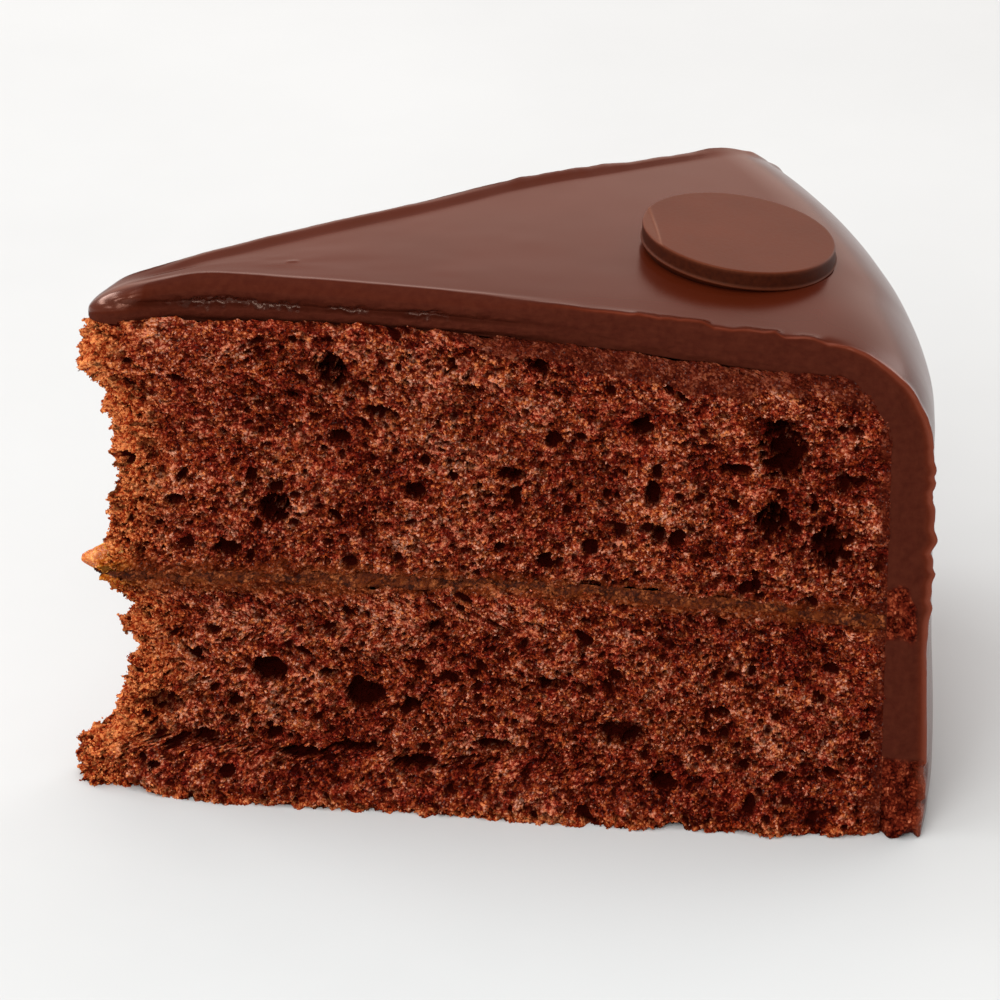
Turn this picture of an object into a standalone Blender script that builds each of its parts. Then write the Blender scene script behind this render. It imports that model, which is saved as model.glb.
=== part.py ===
# A slice of sachertorte: two chocolate sponge layers with a thin jam filling
# between them, a chocolate glaze over the top and down the rim, and a round
# chocolate disc lying on the glaze near the rim.
#
# Metres, +Z up. The slice is laid out in its own frame first (millimetres, the
# point of the wedge at the origin, +X along its axis of symmetry to the rim)
# and moved at the end, so that the origin is the middle of its base.

from math import atan2, cos, hypot, pi, radians, sin, sqrt

import bmesh
import bpy
from mathutils import Vector, noise

# Named sizes, millimetres and degrees
RADIUS = 104.3          # outside of the glaze, from the centre of the whole cake
HALF_ANGLE = radians(19.1)
CENTRE_HEIGHT = 70.1    # top of the glaze at the centre of the cake
DOME = 5.5              # how much lower the top would be at the rim
SHOULDER = 14.5         # radius from the top into the rim
GLAZE = 4.9             # thickness of the glaze
GAP = 0.3               # clearance between neighbouring nodes
JAM = 1.9               # thickness of the filling with its clearance
FRONT_LEAN = 4.4        # the front cut runs out this far at the base
BACK_LEAN = 2.0
FRONT_SET = 0.2         # the cut planes against the true radial plane, at the top
BACK_SET = -1.2
BLUNT = 4.6             # width of the point of the slice
NOSE_X = -1.2           # where the point of the glaze ends
LIP_BLUNT = BLUNT + 1.6  # the same width in the glaze, which juts out a little
ARC_FROM, ARC_TO = 60.0, 75.0   # between these the glaze bends from cut to rim arc
HEM = 0.35              # the least height of the glaze over the floor
ROLL, NOSE = 2.3, 4.2   # how wide the glaze rounds off at a cut and at its point
DISC_D, DISC_T = 24.5, 2.4
DISC_AT = (81.0, -3.7)
DISC_TILT = radians(8.0)
DISC_LIFT = 0.15        # clearance of the disc over the glaze, used above and below
SEED = 11.0

# Crumb relief on the cuts: size of the lumps, how far they stand out, seed
LUMPS = ((5.0, 1.0, 0.0), (2.2, 0.9, 7.0))

# The point of the sponge as cut: height, then how far the crumb reaches
TIP = ((0.0, -3.4), (1.8, -4.3), (5.2, -2.9), (7.2, 1.5), (13.0, 2.4), (17.0, 4.6),
       (20.8, 2.2), (24.2, 4.9), (26.6, 1.8), (29.6, -1.9), (33.0, 0.6), (41.0, 1.4),
       (46.0, 2.4), (51.5, 1.8), (55.5, 0.0), (58.8, -2.8), (65.0, -0.4))

# The large air holes in the front cut: distance from the point, height, two radii
HOLES_UPPER = ((30.3, 59.0, 2.1, 2.5), (35.7, 53.8, 1.8, 1.1), (23.0, 39.5, 2.2, 2.2),
               (40.3, 42.8, 1.4, 1.2), (68.7, 53.3, 1.3, 1.3), (70.5, 44.3, 1.2, 2.0),
               (86.3, 51.0, 3.0, 4.0), (85.3, 41.9, 2.1, 2.2), (91.6, 38.9, 2.1, 3.0))
HOLES_LOWER = ((21.8, 17.1, 2.2, 1.9), (33.6, 14.3, 2.5, 1.9), (12.4, 6.4, 1.5, 1.4),
               (36.9, 5.6, 1.9, 0.9), (65.8, 11.4, 3.1, 1.8), (70.8, 5.6, 1.8, 1.2))


def blend(low, high, x):
    t = min(1.0, max(0.0, (x - low) / (high - low)))
    return t * t * (3.0 - 2.0 * t)


def soft_max(a, b, k=1.2):
    return 0.5 * (a + b + sqrt((a - b) ** 2 + k * k))


def along(table, x):
    for (x0, y0), (x1, y1) in zip(table, table[1:]):
        if x <= x1:
            return y0 + (y1 - y0) * max(0.0, (x - x0) / (x1 - x0))
    return table[-1][1]


def rough(x, y, z, size, seed=0.0):
    return noise.noise(Vector((x / size + seed, y / size - seed, z / size + SEED)))


def top_height(r, sink=0.0):
    """Height of the glaze over the flat part of the top, less sink."""
    return CENTRE_HEIGHT - sink - DOME * (r / RADIUS) ** 2


def jam_height(r):
    return 29.0 + 1.8 * sin(pi * max(0.0, min(r, 100.0)) / 95.0)


def cut_offsets(z):
    share = 1.0 - z / 66.0
    return FRONT_SET + FRONT_LEAN * share, BACK_SET + BACK_LEAN * share


def cut_sides(x, z, blunt=BLUNT):
    """The y of the front and back cut at a place along the slice."""
    front, back = cut_offsets(z)
    run = x * sin(HALF_ANGLE)
    y0 = -(front + run) / cos(HALF_ANGLE)
    y1 = (back + run) / cos(HALF_ANGLE)
    middle = 0.5 * (y0 + y1)
    half = soft_max(0.5 * (y1 - y0), 0.5 * blunt)
    return middle - half, middle + half


def rim_point(v, z, radius):
    """A point of the rim arc, v from 0 at the front cut to 1 at the back."""
    front, back = cut_offsets(z)
    angle0 = -HALF_ANGLE - front / radius
    angle1 = HALF_ANGLE + back / radius
    angle = angle0 + (angle1 - angle0) * v
    return radius * cos(angle), radius * sin(angle)


def plan(u, v, z, x_tip, radius, blunt=BLUNT):
    """Plan position in the wedge: u from the point to the rim, v across."""
    y0, y1 = cut_sides(x_tip, z, blunt)
    s = 2.0 * v - 1.0
    tx, ty = x_tip + 1.3 * s * s, y0 + (y1 - y0) * v
    rx, ry = rim_point(v, z, radius)
    return tx + (rx - tx) * u, ty + (ry - ty) * u


def cut_side(j, nv):
    """-1 on the front cut, 1 on the back cut and 0 between them."""
    if j == 0:
        return -1.0
    return 1.0 if j == nv else 0.0


def collection(name):
    made = bpy.data.collections.new(name)
    bpy.context.scene.collection.children.link(made)
    return made


def build(name, verts, faces, material):
    mesh = bpy.data.meshes.new(name)
    mesh.from_pydata([(x * 0.001, y * 0.001, z * 0.001) for x, y, z in verts], [], faces)
    bm = bmesh.new()
    bm.from_mesh(mesh)
    bmesh.ops.recalc_face_normals(bm, faces=bm.faces)
    if bm.calc_volume(signed=True) < 0:
        bmesh.ops.reverse_faces(bm, faces=bm.faces)
    bmesh.ops.triangulate(bm, faces=bm.faces)
    bm.to_mesh(mesh)
    bm.free()
    mesh.materials.append(material)
    obj = bpy.data.objects.new(name, mesh)
    slice_parts.objects.link(obj)
    return obj


def block(name, counts, place, material):
    """A closed box of quads, bent into shape by place(i, j, k) on its outside."""
    nu, nv, nw = counts
    index, verts, faces = {}, [], []

    def vert(i, j, k):
        key = (i, j, k)
        if key not in index:
            index[key] = len(verts)
            verts.append(place(i, j, k))
        return index[key]

    for i in range(nu):
        for j in range(nv):
            for k, turn in ((0, True), (nw, False)):
                quad = [vert(i, j, k), vert(i + 1, j, k), vert(i + 1, j + 1, k), vert(i, j + 1, k)]
                faces.append(quad[::-1] if turn else quad)
    for i in range(nu):
        for k in range(nw):
            for j, turn in ((0, False), (nv, True)):
                quad = [vert(i, j, k), vert(i + 1, j, k), vert(i + 1, j, k + 1), vert(i, j, k + 1)]
                faces.append(quad[::-1] if turn else quad)
    for j in range(nv):
        for k in range(nw):
            for i, turn in ((0, True), (nu, False)):
                quad = [vert(i, j, k), vert(i, j + 1, k), vert(i, j + 1, k + 1), vert(i, j, k + 1)]
                faces.append(quad[::-1] if turn else quad)
    return build(name, verts, faces, material)


def paint(name, rgb, roughness):
    material = bpy.data.materials.new(name)
    material.use_nodes = True
    shader = material.node_tree.nodes["Principled BSDF"]
    shader.inputs["Base Color"].default_value = (*rgb, 1.0)
    shader.inputs["Roughness"].default_value = roughness
    return material


def sponge(name, upper, material):
    """One sponge layer: crumb relief on the cuts, smooth where the glaze covers it."""
    nu, nv, nw = 42, 5, (14 if upper else 12)
    inner = RADIUS - GLAZE - GAP
    round_r = SHOULDER - GLAZE

    def place(i, j, k):
        u, v, w = i / nu, j / nv, k / nw
        near = u * inner
        if upper:
            low = jam_height(near) + 0.5 * JAM
            high = top_height(min(near, inner - round_r), GLAZE + GAP)
        else:
            low, high = 0.0, jam_height(near) - 0.5 * JAM
        z = low + (high - low) * w
        radius = inner
        if upper:
            over = max(0.0, z - (high - round_r))
            radius -= round_r - sqrt(max(0.0, round_r ** 2 - over ** 2))
        x, y = plan(u, v, z, along(TIP, z), radius)
        # crumb relief, fading out towards the rim and at the hidden faces
        edge = blend(1.0, 0.94, u)
        side = cut_side(j, nv)
        if side:
            lump = sum(height * rough(x, y, z, size, seed) for size, height, seed in LUMPS)
            y += side * lump * (0.3 + 0.7 * edge) * 0.9
            x += 0.35 * rough(x, y, z, 2.0, 3.0) * edge
        if i == 0:
            x += 1.3 * rough(x, y, z, 3.0, 5.0) - 0.2
        if not upper and k == 0 and side:
            y -= side * 0.5 * abs(rough(x, y, z, 3.0, 9.0))
        if upper and k == nw and side:
            y -= side * 0.3
        return x, y, z

    return block(name, (nu, nv, nw), place, material)


def jam_filling(material):
    nu, nv, nw = 42, 5, 2
    inner = RADIUS - GLAZE - GAP

    def place(i, j, k):
        u, v, w = i / nu, j / nv, k / nw
        z = jam_height(u * inner) + (w - 0.5) * (JAM - 2.0 * GAP)
        x, y = plan(u, v, z, along(TIP, z) - 1.2, inner, BLUNT - 1.4)
        side = cut_side(j, nv)
        if side:
            y += side * (0.55 * rough(x, y, z, 3.5, 2.0) - 0.1 + (0.35 if k == 1 else 0.0))
        if i == 0:
            x -= 1.0 if k == 1 else 0.0
        return x, y, z

    return block("jam_filling", (nu, nv, nw), place, material)


def glaze_profile(s):
    """A point and outward normal on the glaze, s millimetres from its point."""
    flat = RADIUS - SHOULDER - NOSE_X
    turn = SHOULDER * pi / 2.0
    if s <= flat:
        r = NOSE_X + s
        return r, top_height(r), 0.0, 1.0
    if s <= flat + turn:
        angle = (s - flat) / SHOULDER
        r = RADIUS - SHOULDER + SHOULDER * sin(angle)
        z = top_height(RADIUS - SHOULDER) - SHOULDER * (1.0 - cos(angle))
        return r, z, sin(angle), cos(angle)
    z = top_height(RADIUS - SHOULDER) - SHOULDER - (s - flat - turn)
    return RADIUS, z, 1.0, 0.0


def cut_ends(r, z):
    """Where the two cuts pass at this distance from the point: (x, y) of each."""
    y0, y1 = cut_sides(r, z, LIP_BLUNT)
    if r < ARC_FROM:
        return (r, y0), (r, y1)
    (x0, arc0), (x1, arc1) = rim_point(0.0, z, r), rim_point(1.0, z, r)
    share = min(1.0, (r - ARC_FROM) / (ARC_TO - ARC_FROM))
    front = r + (x0 - r) * share, y0 + (arc0 - y0) * share
    back = r + (x1 - r) * share, y1 + (arc1 - y1) * share
    return front, back


def between(r, front, back, v):
    """A point from cut to cut: on a straight line near the point, on an arc at the rim."""
    (x0, y0), (x1, y1) = front, back
    straight = y0 + (y1 - y0) * v
    if r < ARC_FROM:
        return x0, straight
    angle0, angle1 = atan2(y0, x0), atan2(y1, x1)
    reach = hypot(x0, y0) + (hypot(x1, y1) - hypot(x0, y0)) * v
    angle = angle0 + (angle1 - angle0) * v
    share = min(1.0, (r - ARC_FROM) / (ARC_TO - ARC_FROM))
    x = r + (reach * cos(angle) - r) * share
    return x, straight + (reach * sin(angle) - straight) * share


def glaze_stops():
    """Places along the glaze from its point, over the shoulder and down the rim."""
    flat = RADIUS - SHOULDER - NOSE_X
    turn = SHOULDER * pi / 2.0
    drop = top_height(RADIUS - SHOULDER) - SHOULDER - 0.2
    stops = [0.0, 0.7, 1.6, 2.8, NOSE]
    stops += [NOSE + (flat - NOSE) * n / 30 for n in range(1, 31)]
    stops += [flat + turn * n / 9 for n in range(1, 10)]
    return stops + [flat + turn + drop * n / 16 for n in range(1, 17)]


def glaze(material):
    """Top, shoulder and rim of the glaze in one piece, with rolled cut edges."""
    stops = glaze_stops()
    edge = (0.0, 0.45, 1.2, ROLL, 3.8)
    middle = 8
    nu, nv, nw = len(stops) - 1, 2 * (len(edge) - 1) + middle, 2
    bulge = (0.1, 0.9, 0.35)        # of the cut face: bottom, middle, top
    beak = (0.0, 0.9, 0.5)          # the same at the point

    def across(j, width):
        """Millimetres from the front cut of lattice line j."""
        scale = min(1.0, 0.5 * width / (edge[-1] + 0.4))
        if j < len(edge):
            return edge[j] * scale
        if j > nv - len(edge):
            return width - edge[nv - j] * scale
        share = (j - len(edge) + 1) / middle
        reach = edge[-1] * scale
        return reach + (width - 2.0 * reach) * share

    def place(i, j, k):
        s = stops[i]
        r, z, nr, nz = glaze_profile(s)
        depth = (1.0 - k / nw) * GLAZE
        r, z = r - nr * depth, max(z - nz * depth, HEM)
        (x0, y0), (x1, y1) = cut_ends(r, z)
        # the point is rounded in plan
        bow = 1.0 - min(1.0, (s + 0.4) / 3.6)
        mid, half = 0.5 * (y0 + y1), 0.5 * (y1 - y0) * sqrt(1.0 - bow * bow)
        y0, y1 = mid - half, mid + half
        width = hypot(x1 - x0, y1 - y0)
        near = across(j, width)
        x, y = between(r, (x0, y0), (x1, y1), near / width)
        # a low bead, then rounded off at the cut and at the nose
        wave = rough(x, y, z, 9.0, 4.0)
        from_cut = min(near, width - near)
        fall = 0.0
        if from_cut < ROLL:
            fall += 0.9 * (ROLL - sqrt(ROLL ** 2 - (ROLL - from_cut) ** 2))
        if s < NOSE:
            fall += 0.75 * (NOSE - sqrt(NOSE ** 2 - (NOSE - s) ** 2))
        bead = 0.55 * blend(5.0, 2.2, from_cut) * blend(4.0, 24.0, z)
        lift = (bead - min(fall, 0.66 * GLAZE) + 0.15 * wave) * k / nw
        x, z = x + nr * lift, z + nz * lift
        side = cut_side(j, nv)
        if side:
            out = (bulge[k] + 0.35 * wave) * blend(-1.0, 4.0, s)
            y += side * out * cos(HALF_ANGLE)
            x -= out * sin(HALF_ANGLE)
        if i == 0:
            x -= beak[k]
        # the hem of the rim, a little uneven
        if i == nu:
            z = HEM + 0.25 * abs(rough(x, y, 0.0, 4.0, 6.0))
        return x, y, z

    return block("glaze", (nu, nv, nw), place, material)


def chocolate_disc(material):
    """A flat round disc, its underside following the glaze."""
    sides = 56
    cx, cy = DISC_AT
    mid = top_height(hypot(cx, cy)) + DISC_LIFT + DISC_T
    radius = DISC_D / 2.0
    # rings from the middle of the underside, out, up the edge and back in:
    # share of the radius, then how far down from the top face
    rings = ((0.5, None), (0.985, None), (1.0, 0.62), (1.0, 0.3),
             (0.985, 0.08), (0.965, 0.0), (0.5, 0.0))

    def spot(share, down, angle):
        dx, dy = radius * share * cos(angle), radius * share * sin(angle)
        x, y = cx + dx * cos(DISC_TILT), cy + dy
        face = mid - dx * sin(DISC_TILT)
        base = top_height(hypot(x, y)) + 2.0 * DISC_LIFT
        if down is None:
            return x, y, base
        return x, y, face - down * (face - base) if down > 0.2 else face - down

    verts, faces = [], []
    for share, down in rings:
        verts += [spot(share, down, 2.0 * pi * n / sides) for n in range(sides)]
    for ring in range(len(rings) - 1):
        for n in range(sides):
            m = (n + 1) % sides
            a, b = ring * sides, (ring + 1) * sides
            faces.append((a + n, a + m, b + m, b + n))
    bottom, top = len(verts), len(verts) + 1
    verts += [spot(0.0, None, 0.0), spot(0.0, 0.0, 0.0)]
    last = (len(rings) - 1) * sides
    for n in range(sides):
        m = (n + 1) % sides
        faces.append((bottom, m, n))
        faces.append((top, last + n, last + m))
    return build("chocolate_disc", verts, faces, material)


def open_holes(obj, holes):
    """Takes the large air holes out of the front cut with one joined cutter."""
    bm = bmesh.new()
    for n, (t, z, rt, rz) in enumerate(holes):
        front, _ = cut_offsets(z)
        x = t * cos(HALF_ANGLE) - front * sin(HALF_ANGLE)
        y = -t * sin(HALF_ANGLE) - front * cos(HALF_ANGLE)
        made = bmesh.ops.create_icosphere(bm, subdivisions=2, radius=1.0)
        for vert in made["verts"]:
            p = vert.co
            wobble = 1.0 + 0.18 * noise.noise(p * 1.7 + Vector((n * 3.1, 0.0, 0.0)))
            across_cut = p.y * max(rt, rz) * 1.25 * wobble
            run = p.x * rt * wobble
            px = x + run * cos(HALF_ANGLE) - across_cut * sin(HALF_ANGLE)
            py = y - run * sin(HALF_ANGLE) + across_cut * cos(HALF_ANGLE)
            vert.co = Vector((px, py, z + p.z * rz * wobble)) * 0.001
    mesh = bpy.data.meshes.new(obj.name + "_cutter")
    bmesh.ops.recalc_face_normals(bm, faces=bm.faces)
    bm.to_mesh(mesh)
    bm.free()
    cutter = bpy.data.objects.new(obj.name + "_cutter", mesh)
    hole_cutters.objects.link(cutter)
    cutter.hide_render = True
    cutter.display_type = "WIRE"
    cut = obj.modifiers.new("air_holes", "BOOLEAN")
    cut.operation = "DIFFERENCE"
    cut.solver = "EXACT"
    cut.object = cutter
    return cutter


for old in list(bpy.data.objects):
    bpy.data.objects.remove(old, do_unlink=True)

slice_parts = collection("sachertorte_slice")
hole_cutters = collection("air_hole_cutters")

crumb = paint("chocolate_sponge", (0.13, 0.035, 0.012), 0.9)
lower = sponge("sponge_lower", False, crumb)
upper = sponge("sponge_upper", True, crumb)
filling = jam_filling(paint("apricot_jam", (0.28, 0.07, 0.012), 0.3))
coat = glaze(paint("chocolate_glaze", (0.045, 0.012, 0.006), 0.15))
disc = chocolate_disc(paint("plain_chocolate", (0.06, 0.02, 0.011), 0.4))
cutters = [open_holes(lower, HOLES_LOWER), open_holes(upper, HOLES_UPPER)]

# the middle of the base is the origin
parts = [lower, upper, filling, coat, disc]
xs = [v.co.x for obj in parts for v in obj.data.vertices]
ys = [v.co.y for obj in parts for v in obj.data.vertices]
shift = Vector((-(min(xs) + max(xs)) / 2.0, -(min(ys) + max(ys)) / 2.0, 0.0))
for obj in parts + cutters:
    for v in obj.data.vertices:
        v.co += shift
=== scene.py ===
"""Looks of a slice of sachertorte: open chocolate crumb, a jam line, a glossy glaze
with rolled edges and a bare round chocolate disc, on a pale floor.

The shapes are laid out in millimetres in the slice's own frame, with the middle of the
whole cake at the origin and +X along the slice to its rim, and are moved and scaled into
the frame of the CAD model when each mesh is made.
"""

from math import cos, hypot, pi, radians, sin

import bmesh
import bpy
import numpy as np
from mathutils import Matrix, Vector


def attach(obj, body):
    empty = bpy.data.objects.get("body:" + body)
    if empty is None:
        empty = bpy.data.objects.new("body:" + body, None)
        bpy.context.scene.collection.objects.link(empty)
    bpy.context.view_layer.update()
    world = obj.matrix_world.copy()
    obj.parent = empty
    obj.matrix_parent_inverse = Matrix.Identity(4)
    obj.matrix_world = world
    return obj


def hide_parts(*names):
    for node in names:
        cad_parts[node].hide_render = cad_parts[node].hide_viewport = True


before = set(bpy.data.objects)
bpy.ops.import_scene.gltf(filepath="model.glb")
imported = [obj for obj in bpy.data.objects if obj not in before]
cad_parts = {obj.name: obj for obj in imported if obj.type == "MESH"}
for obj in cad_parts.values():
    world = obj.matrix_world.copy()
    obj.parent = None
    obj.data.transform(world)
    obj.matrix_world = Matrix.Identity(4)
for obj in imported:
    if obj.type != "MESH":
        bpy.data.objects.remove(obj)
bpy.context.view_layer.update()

MM = 0.001
MIDDLE = (-49.66, 1.84)  # from the slice's own frame to the frame of the CAD model

# Sizes shared with the CAD source, millimetres
RADIUS = 104.3  # outside of the glaze
HALF_ANGLE = radians(19.1)
CENTRE_HEIGHT = 70.1  # top of the glaze in the middle of the cake
DOME = 5.5  # how much lower the top would be at the rim
SHOULDER = 14.5  # radius from the top into the rim
GLAZE = 4.9  # thickness of the glaze
GAP = 0.3  # clearance between neighbouring nodes
JAM = 1.9  # thickness of the filling
FRONT_LEAN, BACK_LEAN = 4.4, 2.0  # how far the cuts run out at the base
LEAN_FROM = 66.0  # the height where they start to run out
FRONT_SET, BACK_SET = 0.2, -1.2  # the cut planes against the true radial plane
BLUNT = 4.6  # width of the point of the slice
LIP_BLUNT = BLUNT + 1.6  # the same in the glaze
NOSE_X = -1.2  # where the point of the glaze ends
SOFTNESS = 1.2  # how gently the cuts turn into the point
ARC_FROM, ARC_TO = 60.0, 75.0  # between these the glaze bends from cut to rim arc
DISC_D, DISC_T = 24.5, 2.4
DISC_AT = (81.0, -3.7)
DISC_TILT = radians(8.0)
DISC_LIFT = 0.15  # clearance of the disc over the glaze

# The point of the sponge as cut: height, then how far the crumb reaches
TIP = (
    (0.0, -3.4), (1.8, -4.3), (5.2, -2.9), (7.2, 1.5), (13.0, 2.4), (17.0, 4.6),
    (20.8, 2.2), (24.2, 4.9), (26.6, 1.8), (29.6, -1.9), (33.0, 0.6), (41.0, 1.4),
    (46.0, 2.4), (51.5, 1.8), (55.5, 0.0), (58.8, -2.8), (65.0, -0.4)
)

# Where the front cut starts, less the reach of the torn point, and where it ends
CUT_FROM, CUT_TO = 3.5, 97.8

# Air holes in the front cut: distance from the point, height, two radii, depth
HOLES = (
    (30.3, 59.2, 2.1, 2.6, 3.2), (35.7, 53.8, 1.8, 1.1, 2.0), (31.0, 49.6, 1.5, 1.2, 1.8),
    (23.0, 39.5, 2.2, 2.1, 3.0), (17.2, 33.8, 1.8, 1.2, 2.0), (10.6, 40.1, 1.5, 1.0, 1.6),
    (40.3, 42.8, 1.4, 1.2, 2.2), (67.7, 53.3, 1.4, 1.3, 2.4), (69.1, 44.3, 1.1, 1.9, 2.2),
    (69.8, 38.9, 1.1, 1.5, 1.8), (84.6, 51.0, 3.1, 4.1, 3.2), (79.0, 48.2, 2.1, 0.9, 2.0),
    (83.5, 41.7, 2.1, 2.3, 3.0), (90.4, 38.6, 2.2, 3.1, 2.6), (92.0, 47.1, 1.0, 1.9, 1.6),
    (21.8, 17.1, 2.2, 1.8, 3.0), (33.6, 14.3, 2.6, 1.8, 2.8), (39.6, 13.4, 1.1, 1.0, 1.8),
    (29.4, 17.2, 1.4, 0.8, 1.4), (17.6, 12.5, 1.1, 1.1, 1.6), (17.0, 9.8, 1.3, 0.7, 1.4),
    (25.6, 6.2, 3.4, 0.7, 1.8), (33.0, 7.2, 3.4, 0.6, 1.6), (40.0, 6.0, 3.0, 0.7, 1.8),
    (13.6, 7.4, 2.0, 1.0, 1.6), (8.6, 11.6, 2.6, 1.6, 1.4), (42.6, 24.4, 1.3, 0.8, 1.4),
    (49.5, 8.8, 2.6, 0.8, 1.6), (57.0, 17.5, 1.9, 0.8, 1.4), (52.0, 46.0, 1.9, 0.9, 1.6),
    (47.5, 57.5, 1.5, 0.8, 1.3), (56.5, 61.0, 1.3, 1.0, 1.4), (61.5, 31.5, 1.6, 0.8, 1.2),
    (65.8, 11.4, 3.2, 1.8, 1.6), (70.8, 5.3, 1.8, 1.1, 2.4), (77.8, 15.0, 1.4, 0.8, 1.6)
)
BACK_HOLES = 26  # at random places in the back cut
WEBBED = 2.0  # larger holes have webs across them


def smooth(low, high, x):
    """From 0 at low to 1 at high with soft ends. Low may be the larger."""
    t = np.clip((x - low) / (high - low), 0.0, 1.0)
    return t * t * (3.0 - 2.0 * t)


def bell(x, width, power=2):
    """1 where x is 0, falling off to both sides."""
    return np.exp(-(x / width) ** power)


def lattice_noise(x, y, size, seed):
    """Smooth noise in two dimensions, between about -1 and 1."""
    table = np.random.default_rng(seed).uniform(-1.0, 1.0, (256, 256))
    x, y = x / size + 1000.0, y / size + 1000.0
    xi, yi = np.floor(x).astype(int), np.floor(y).astype(int)
    fx, fy = x - xi, y - yi
    fx, fy = fx * fx * (3.0 - 2.0 * fx), fy * fy * (3.0 - 2.0 * fy)
    x0, x1, y0, y1 = xi % 256, (xi + 1) % 256, yi % 256, (yi + 1) % 256
    low = table[x0, y0] * (1.0 - fx) + table[x1, y0] * fx
    high = table[x0, y1] * (1.0 - fx) + table[x1, y1] * fx
    return low * (1.0 - fy) + high * fy


def fractal(x, y, size, seed, octaves=3):
    total, share = 0.0, 1.0
    for n in range(octaves):
        total = total + share * lattice_noise(x, y, size / 2 ** n, seed + n)
        share *= 0.55
    return total


def ripple(x, size, seed, octaves=1):
    """Noise that changes along x only."""
    return fractal(x, 0.0 * x, size, seed, octaves)


# The slice's plan and heights, as in the CAD source

def top_height(r, sink=0.0):
    """Height of the glaze over the flat part of the top, less sink."""
    return CENTRE_HEIGHT - sink - DOME * (r / RADIUS) ** 2


def jam_height(r):
    return 29.0 + 1.8 * np.sin(pi * np.clip(r, 0.0, 100.0) / 95.0)


def cut_offsets(z):
    share = 1.0 - z / LEAN_FROM
    return FRONT_SET + FRONT_LEAN * share, BACK_SET + BACK_LEAN * share


def soft_max(a, b):
    return 0.5 * (a + b + np.sqrt((a - b) ** 2 + SOFTNESS ** 2))


def cut_sides(x, z, blunt=BLUNT):
    """The y of the front and the back cut at a place along the slice."""
    front, back = cut_offsets(z)
    run = x * sin(HALF_ANGLE)
    y0, y1 = -(front + run) / cos(HALF_ANGLE), (back + run) / cos(HALF_ANGLE)
    middle = 0.5 * (y0 + y1)
    half = soft_max(0.5 * (y1 - y0), 0.5 * blunt)
    return middle - half, middle + half


def rim_point(v, z, radius):
    """A point of the rim arc, v from 0 at the front cut to 1 at the back."""
    front, back = cut_offsets(z)
    angle0, angle1 = -HALF_ANGLE - front / radius, HALF_ANGLE + back / radius
    angle = angle0 + (angle1 - angle0) * v
    return radius * np.cos(angle), radius * np.sin(angle)


def tip_reach(z):
    heights, reach = zip(*TIP)
    return np.interp(z, heights, reach)


def hem_drop(r):
    """How much lower the coat's underside lies near the point."""
    return smooth(46.0, 10.0, r)


def plan(u, v, z, x_tip, radius):
    """Plan position in the wedge: u from the point to the rim, v across."""
    y0, y1 = cut_sides(x_tip, z)
    s = 2.0 * v - 1.0
    tx, ty = x_tip + 1.3 * s * s, y0 + (y1 - y0) * v
    rx, ry = rim_point(v, z, radius)
    return tx + (rx - tx) * u, ty + (ry - ty) * u


# Making pieces

def add_object(name, data):
    made = bpy.data.objects.new(name, data)
    bpy.context.scene.collection.objects.link(made)
    return made


def make_piece(name, points, faces, uv, shades, material, slot, *nodes):
    """A piece from millimetre points, with its bake map and its shading values."""
    moved = np.asarray(points, float).reshape(-1, 3) * MM
    moved[:, 0] += MIDDLE[0] * MM
    moved[:, 1] += MIDDLE[1] * MM
    mesh = bpy.data.meshes.new(name)
    mesh.from_pydata(moved.tolist(), [], faces)
    layer = mesh.uv_layers.new(name="OFBake")
    corner = np.empty(len(mesh.loops), int)
    mesh.loops.foreach_get("vertex_index", corner)
    layer.data.foreach_set("uv", np.asarray(uv, np.float32).reshape(-1, 2)[corner].ravel())
    for key, values in shades.items():
        layer = mesh.attributes.new(key, "FLOAT", "POINT")
        layer.data.foreach_set("value", np.asarray(values, np.float32).ravel())
    mesh.validate()
    mesh.materials.append(material)
    for poly in mesh.polygons:
        poly.use_smooth = True
    piece = add_object(name, mesh)
    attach(piece, "root")
    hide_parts(*nodes)


def grid_faces(rows, cols):
    index = np.arange(rows * cols).reshape(rows, cols)
    quads = np.stack([index[:-1, :-1], index[1:, :-1], index[1:, 1:], index[:-1, 1:]], -1)
    return quads.reshape(-1, 4).tolist()


def tube_faces(count, around):
    """Quads of a tube of rings, with one face over each end."""
    index = np.arange(count * around).reshape(count, around)
    after = np.roll(index, -1, axis=1)
    quads = np.stack([index[:-1], index[1:], after[1:], after[:-1]], -1)
    return quads.reshape(-1, 4).tolist() + [index[0].tolist(), index[-1][::-1].tolist()]


def stack(*fields):
    """Fields side by side, as the coordinates of points."""
    return np.stack(fields, -1)


def icosphere(subdivisions):
    """Points and triangles of a ball of radius 1."""
    bm = bmesh.new()
    bmesh.ops.create_icosphere(bm, subdivisions=subdivisions, radius=1.0)
    points = np.array([v.co for v in bm.verts])
    faces = np.array([[v.index for v in f.verts] for f in bm.faces])
    bm.free()
    return points, faces


# Open crumb: bubbles cut from the outside of each sponge layer

STEP = 0.16  # grid of the cut faces
CUT_STEPS, TIP_STEPS = 651, 32
UPPER_ROWS, LOWER_ROWS = 217, 181
BACK_EVERY = 3  # the back cut has a coarser grid
ROUNDING = 19  # columns over which the corners of the point are rounded
LAP = 0.1  # how far the crumb laps into the glaze
BITE = 0.5  # how far the crumb of each layer laps over the jam
TORN_AT = -2.6  # the middle of the torn point along a strip
FLOOR = 0.02  # least height of the crumb
GRAINS = 8500
UPPER_SEED, LOWER_SEED, UNDER_SEED, GRAIN_SEED = 21, 47, 91, 77
# bubbles a square millimetre, least and most radius, deepest centre
POROSITY = (
    (2.4, 0.13, 0.26, 0.22), (0.78, 0.26, 0.5, 0.42), (0.045, 0.45, 0.85, 0.45),
    (0.01, 0.8, 1.25, 0.7)
)


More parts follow.
